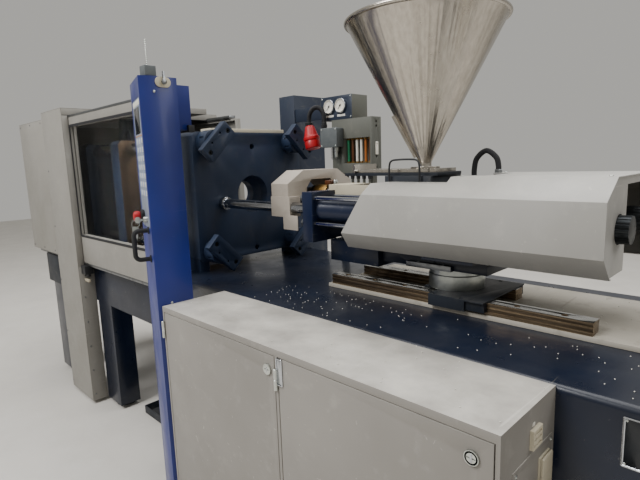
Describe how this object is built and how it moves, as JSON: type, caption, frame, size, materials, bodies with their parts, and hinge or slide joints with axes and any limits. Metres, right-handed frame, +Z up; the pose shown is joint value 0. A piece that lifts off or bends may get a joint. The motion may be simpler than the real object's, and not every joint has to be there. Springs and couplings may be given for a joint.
{
  "type": "injection moulding machine",
  "caption": "Horizontal plastic injection moulding machine with toggle clamp, sliding guard gates, operator column, hopper-fed sliding injection unit and base cabinets.",
  "frame": {"origin": "centre of the locating bore's mouth on the mould side of the fixed platen, on the machine axis", "axes": "+X along the machine axis towards the hydraulic end, -Y towards the operator, +Z up"},
  "size_m": [4.104, 1.2889, 1.842],
  "materials": {
    "navy_enamel": "glossy enamel",
    "column_blue": "glossy enamel",
    "warm_grey": "satin powder coat",
    "base_grey": "satin enamel",
    "plain_steel": "ground, lightly oiled",
    "hard_chrome": "polished",
    "greasy_steel": "ground, under grease",
    "platen_face": "milled, rust stained",
    "forged": "painted forging",
    "stainless": "brushed",
    "cylinder_blue": "enamel",
    "guard_beige": "worn satin paint",
    "brass": "tarnished",
    "black_plastic": "moulded",
    "grey_plastic": "moulded",
    "keypad": "printed film",
    "green_tube": "tinted tube",
    "red_plastic": "moulded",
    "clear_pane": "clear sheet",
    "gauge_white": "enamelled dial"
  },
  "bodies": {
    "machine": {"clamp_base": "navy_enamel", "injection_bed": "navy_enamel", "levelling_feet": "black_plastic", "floor_tray": "base_grey", "fixed_platen": "navy_enamel", "tie_bars": "hard_chrome", "tie_bar_nuts": "base_grey", "rear_platen": "navy_enamel", "clamp_cylinder": "cylinder_blue", "clamp_covers": "warm_grey", "gate_rails": "plain_steel", "limit_switch": "black_plastic", "control_column": "column_blue", "control_panel": "keypad", "electrical_cabinet": "warm_grey", "slide_rails": "greasy_steel", "pull_in_rods": "hard_chrome", "cooling_manifold": "grey_plastic", "flow_tubes": "green_tube", "gauge_box": "navy_enamel", "pressure_gauges": "gauge_white", "junction_box": "grey_plastic", "red_connector": "red_plastic", "rear_column": "base_grey"},
    "front_gate": {"front_gate": "warm_grey", "gate_window": "clear_pane"},
    "rear_gate": {"rear_gate": "warm_grey"},
    "rear_link_upper": {"rear_link_upper": "forged"},
    "rear_link_lower": {"rear_link_lower": "forged"},
    "front_link_upper": {"front_link_upper": "forged"},
    "front_link_lower": {"front_link_lower": "forged"},
    "cross_link_upper": {"cross_link_upper": "plain_steel"},
    "cross_link_lower": {"cross_link_lower": "plain_steel"},
    "crosshead": {"crosshead": "plain_steel"},
    "moving_platen": {"moving_platen": "platen_face"},
    "ejector": {"ejector_rod": "plain_steel"},
    "carriage": {"carriage_saddle": "base_grey", "swivel_drum": "plain_steel", "unit_base": "navy_enamel", "barrel": "plain_steel", "heater_bands": "brass", "nozzle": "plain_steel", "pull_in_cylinders": "cylinder_blue", "feed_housing": "base_grey", "injection_cover": "warm_grey"},
    "screw_drive": {"hydraulic_motor": "base_grey"},
    "screw": {"screw": "plain_steel"},
    "hopper": {"hopper_slide": "stainless", "hopper": "stainless"},
    "nozzle_guard": {"nozzle_guard": "guard_beige"},
    "left_door": {"left_door": "warm_grey"},
    "right_door": {"right_door": "warm_grey"},
    "left_lock": {"left_lock": "plain_steel"},
    "right_lock": {"right_lock": "plain_steel"},
    "emergency_stop": {"emergency_stop": "red_plastic"},
    "key_switch": {"key_switch": "plain_steel"},
    "toggle_lever": {"toggle_lever": "plain_steel"},
    "gauge_needle_left": {"gauge_needle_left": "black_plastic"},
    "gauge_needle_right": {"gauge_needle_right": "black_plastic"},
    "socket_lid": {"socket_lid": "warm_grey"}
  },
  "joints": [
    {"name": "front_gate_slide", "type": "slide", "parent": "machine", "child": "front_gate", "axis": [-1, 0, 0], "range_m": [0, 0.72]},
    {"name": "rear_gate_slide", "type": "slide", "parent": "machine", "child": "rear_gate", "axis": [-1, 0, 0], "range_m": [-0.52, 0.12]},
    {"name": "clamp_toggle", "type": "hinge", "parent": "machine", "child": "rear_link_upper", "pos_m": [-1.02776, 0, 0.11], "axis": [0, 1, 0], "range_deg": [0, 64]},
    {"name": "front_pivot_upper", "type": "hinge", "parent": "rear_link_upper", "child": "front_link_upper", "pos_m": [-0.91538, 0, 0.38815], "axis": [0, 1, 0], "range_deg": [-128, 0]},
    {"name": "platen_pivot_upper", "type": "hinge", "parent": "front_link_upper", "child": "moving_platen", "pos_m": [-0.803, 0, 0.11], "axis": [0, 1, 0], "range_deg": [0, 64]},
    {"name": "cross_pivot_upper", "type": "hinge", "parent": "rear_link_upper", "child": "cross_link_upper", "pos_m": [-0.97157, 0, 0.24908], "axis": [0, 1, 0], "range_deg": [-128, 0]},
    {"name": "crosshead_pivot_upper", "type": "hinge", "parent": "cross_link_upper", "child": "crosshead", "pos_m": [-0.91538, 0, 0.11], "axis": [0, 1, 0], "range_deg": [0, 64]},
    {"name": "rear_pivot_lower", "type": "hinge", "parent": "machine", "child": "rear_link_lower", "pos_m": [-1.02776, 0, -0.11], "axis": [0, 1, 0], "range_deg": [-64, 0]},
    {"name": "front_pivot_lower", "type": "hinge", "parent": "rear_link_lower", "child": "front_link_lower", "pos_m": [-0.91538, 0, -0.38815], "axis": [0, 1, 0], "range_deg": [0, 128]},
    {"name": "cross_pivot_lower", "type": "hinge", "parent": "rear_link_lower", "child": "cross_link_lower", "pos_m": [-0.97157, 0, -0.24908], "axis": [0, 1, 0], "range_deg": [0, 128]},
    {"name": "ejector_slide", "type": "slide", "parent": "moving_platen", "child": "ejector", "axis": [1, 0, 0], "range_m": [0, 0.1]},
    {"name": "unit_slide", "type": "slide", "parent": "machine", "child": "carriage", "axis": [-1, 0, 0], "range_m": [0, 0.375]},
    {"name": "guard_slide", "type": "slide", "parent": "machine", "child": "nozzle_guard", "axis": [-1, 0, 0], "range_m": [0, 0.31875]},
    {"name": "screw_stroke", "type": "slide", "parent": "carriage", "child": "screw_drive", "axis": [1, 0, 0], "range_m": [0, 0.15]},
    {"name": "screw_rotation", "type": "hinge", "parent": "screw_drive", "child": "screw", "pos_m": [1.3, 0, 0], "axis": [1, 0, 0], "continuous": true},
    {"name": "hopper_slide_out", "type": "slide", "parent": "carriage", "child": "hopper", "axis": [-1, 0, 0], "range_m": [0, 0.13]},
    {"name": "left_door_hinge", "type": "hinge", "parent": "machine", "child": "left_door", "pos_m": [0.478, -0.686, -0.75], "axis": [0, 0, -1], "range_deg": [0, 100]},
    {"name": "right_door_hinge", "type": "hinge", "parent": "machine", "child": "right_door", "pos_m": [1.086, -0.686, -0.75], "axis": [0, 0, -1], "range_deg": [0, 100]},
    {"name": "left_lock_turn", "type": "hinge", "parent": "left_door", "child": "left_lock", "pos_m": [1.051, -0.683, -0.398], "axis": [0, 1, 0], "range_deg": [0, 90]},
    {"name": "right_lock_turn", "type": "hinge", "parent": "right_door", "child": "right_lock", "pos_m": [1.643, -0.683, -0.398], "axis": [0, 1, 0], "range_deg": [0, 90]},
    {"name": "emergency_stop_push", "type": "slide", "parent": "machine", "child": "emergency_stop", "axis": [0.309, 0.9511, 0], "range_m": [0, 0.006]},
    {"name": "key_switch_turn", "type": "hinge", "parent": "machine", "child": "key_switch", "pos_m": [0.37811, -0.66404, -0.038], "axis": [0.309, 0.9511, 0], "range_deg": [0, 60]},
    {"name": "selector_turn", "type": "hinge", "parent": "machine", "child": "toggle_lever", "pos_m": [0.474, -0.612, 0.424], "axis": [1, 0, 0], "range_deg": [-45, 45]},
    {"name": "needle_left_turn", "type": "hinge", "parent": "machine", "child": "gauge_needle_left", "pos_m": [0.42, 0.245, 0.392], "axis": [0, 1, 0], "range_deg": [0, 270]},
    {"name": "needle_right_turn", "type": "hinge", "parent": "machine", "child": "gauge_needle_right", "pos_m": [0.491, 0.245, 0.392], "axis": [0, 1, 0], "range_deg": [0, 270]},
    {"name": "socket_lid_hinge", "type": "hinge", "parent": "machine", "child": "socket_lid", "pos_m": [1.7049, -0.484, -0.465], "axis": [0, -1, 0], "range_deg": [0, 110]}
  ],
  "couplings": [
    {"joint": "front_pivot_upper", "follows": "clamp_toggle", "ratio": -2},
    {"joint": "platen_pivot_upper", "follows": "clamp_toggle", "ratio": 1},
    {"joint": "cross_pivot_upper", "follows": "clamp_toggle", "ratio": -2},
    {"joint": "crosshead_pivot_upper", "follows": "clamp_toggle", "ratio": 1},
    {"joint": "rear_pivot_lower", "follows": "clamp_toggle", "ratio": -1},
    {"joint": "front_pivot_lower", "follows": "clamp_toggle", "ratio": 2},
    {"joint": "cross_pivot_lower", "follows": "clamp_toggle", "ratio": 2},
    {"joint": "guard_slide", "follows": "unit_slide", "ratio": 0.85}
  ]
}
